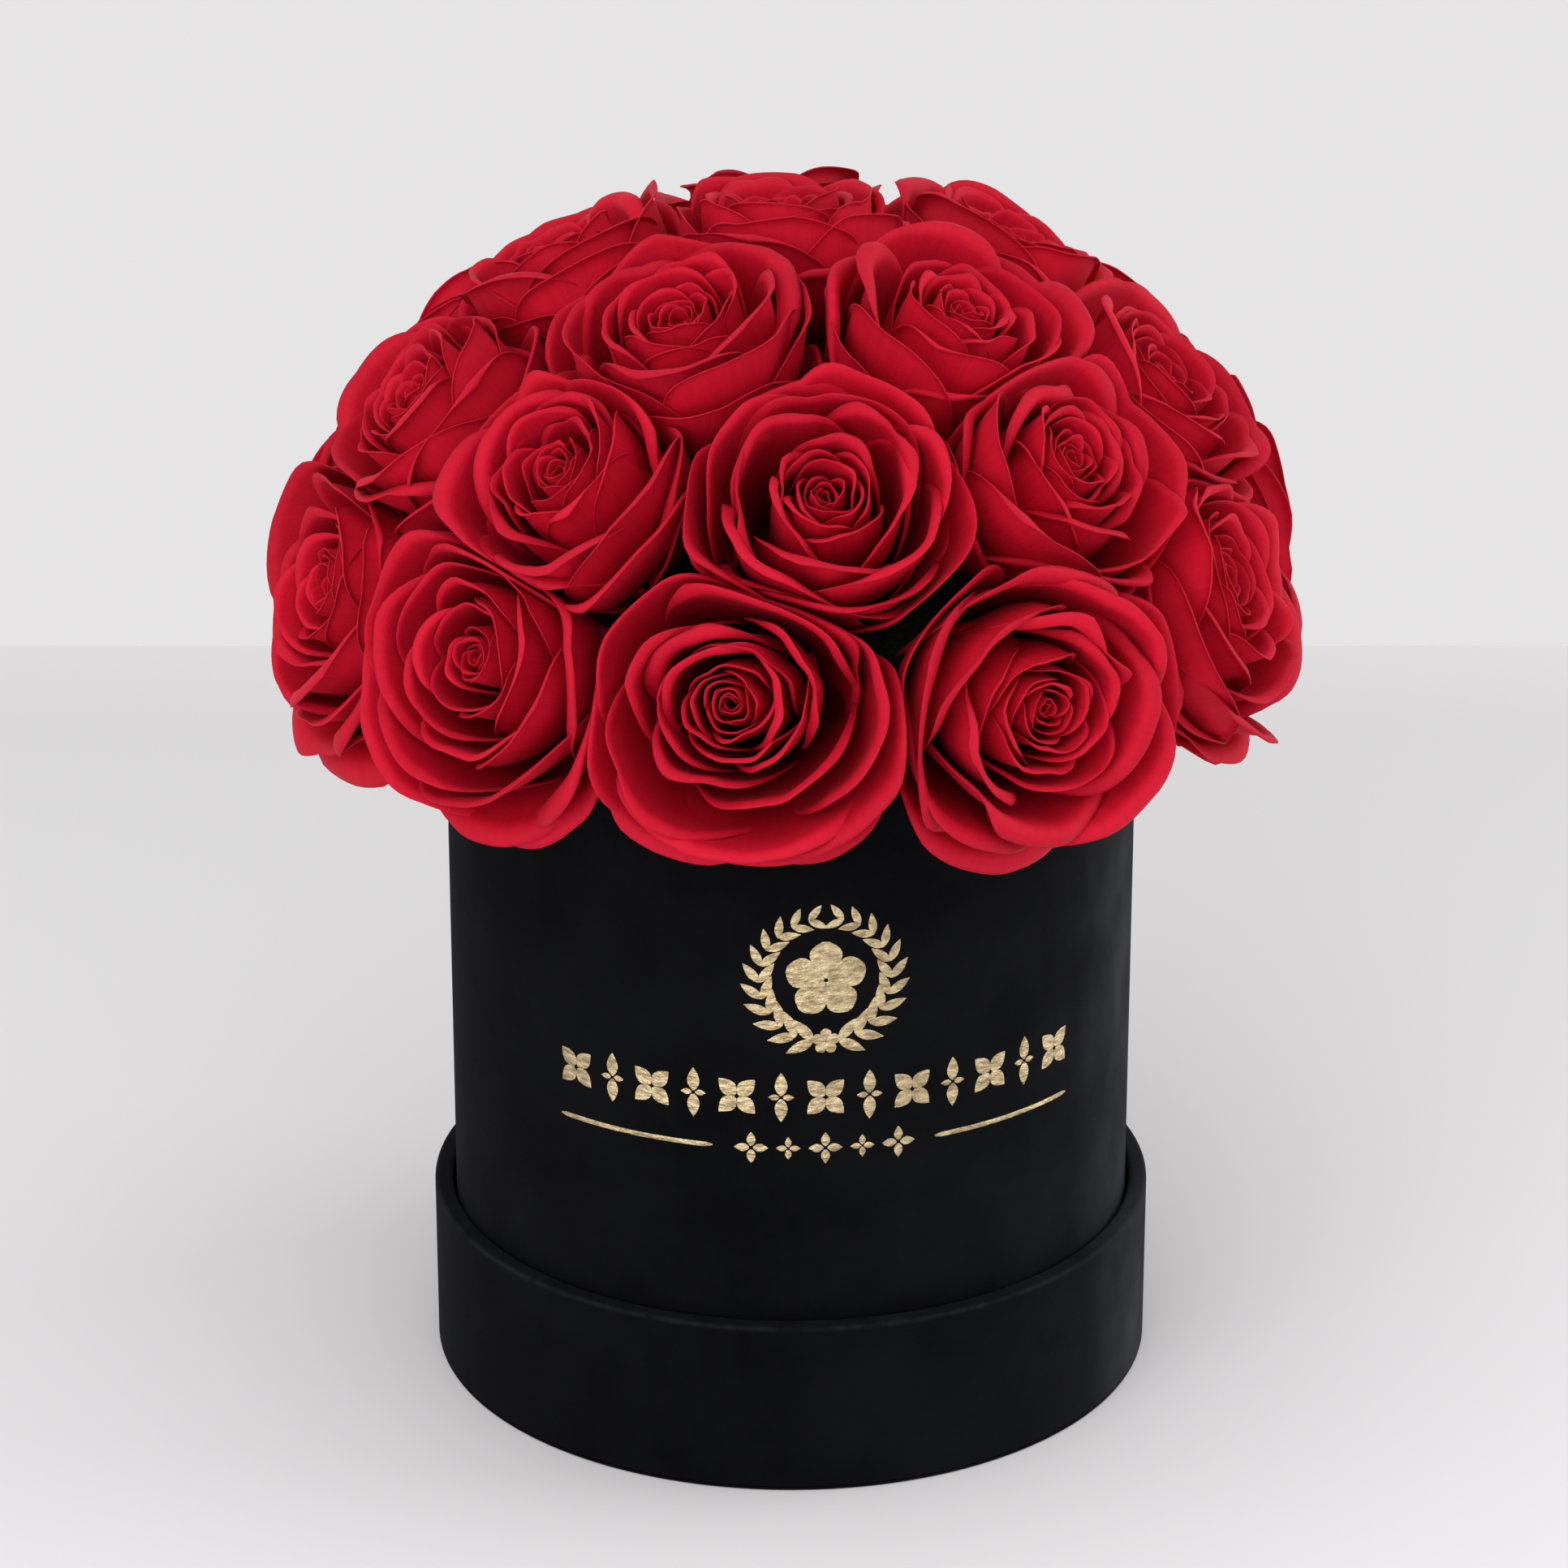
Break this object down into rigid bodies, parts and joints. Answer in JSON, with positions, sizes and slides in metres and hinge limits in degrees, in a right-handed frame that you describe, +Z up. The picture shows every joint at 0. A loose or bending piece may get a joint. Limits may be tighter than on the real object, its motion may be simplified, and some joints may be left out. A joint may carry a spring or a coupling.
{
  "type": "flower box",
  "caption": "Round velvet-covered gift box with a dome of preserved roses on foam, standing in its own upturned lid.",
  "frame": {"origin": "middle of the underside, on the flat top of the upturned lid that the whole box stands on", "axes": "+Z up along the axis of the box, front of the box (the side with the gilt mark) towards -Y, +X to the right seen from the front"},
  "size_m": [0.2257, 0.2286, 0.2761],
  "materials": {
    "greyboard": "matte",
    "black_velvet": "matte",
    "lining_paper": "matte",
    "floral_foam": "matte",
    "red_petal": "matte"
  },
  "bodies": {
    "lid": {"lid_lining": "lining_paper", "lid_side_cover": "black_velvet", "lid_top_board": "greyboard", "lid_top_cover": "black_velvet", "lid_wall": "greyboard"},
    "box": {"box_base_cover": "lining_paper", "box_cover": "black_velvet", "box_floor": "greyboard", "box_lining": "lining_paper", "box_wall": "greyboard", "foam_block": "floral_foam", "foam_dome": "floral_foam", "rose_bottom_01": "red_petal", "rose_bottom_02": "red_petal", "rose_bottom_03": "red_petal", "rose_bottom_04": "red_petal", "rose_bottom_05": "red_petal", "rose_bottom_06": "red_petal", "rose_bottom_07": "red_petal", "rose_bottom_08": "red_petal", "rose_bottom_09": "red_petal", "rose_bottom_10": "red_petal", "rose_middle_01": "red_petal", "rose_middle_02": "red_petal", "rose_middle_03": "red_petal", "rose_middle_04": "red_petal", "rose_middle_05": "red_petal", "rose_middle_06": "red_petal", "rose_middle_07": "red_petal", "rose_middle_08": "red_petal", "rose_middle_09": "red_petal", "rose_top": "red_petal", "rose_upper_01": "red_petal", "rose_upper_02": "red_petal", "rose_upper_03": "red_petal", "rose_upper_04": "red_petal", "rose_upper_05": "red_petal"}
  },
  "joints": [
    {"name": "box_lift", "type": "slide", "parent": "lid", "child": "box", "axis": [0, 0, 1], "range_m": [0, 0.06]}
  ]
}
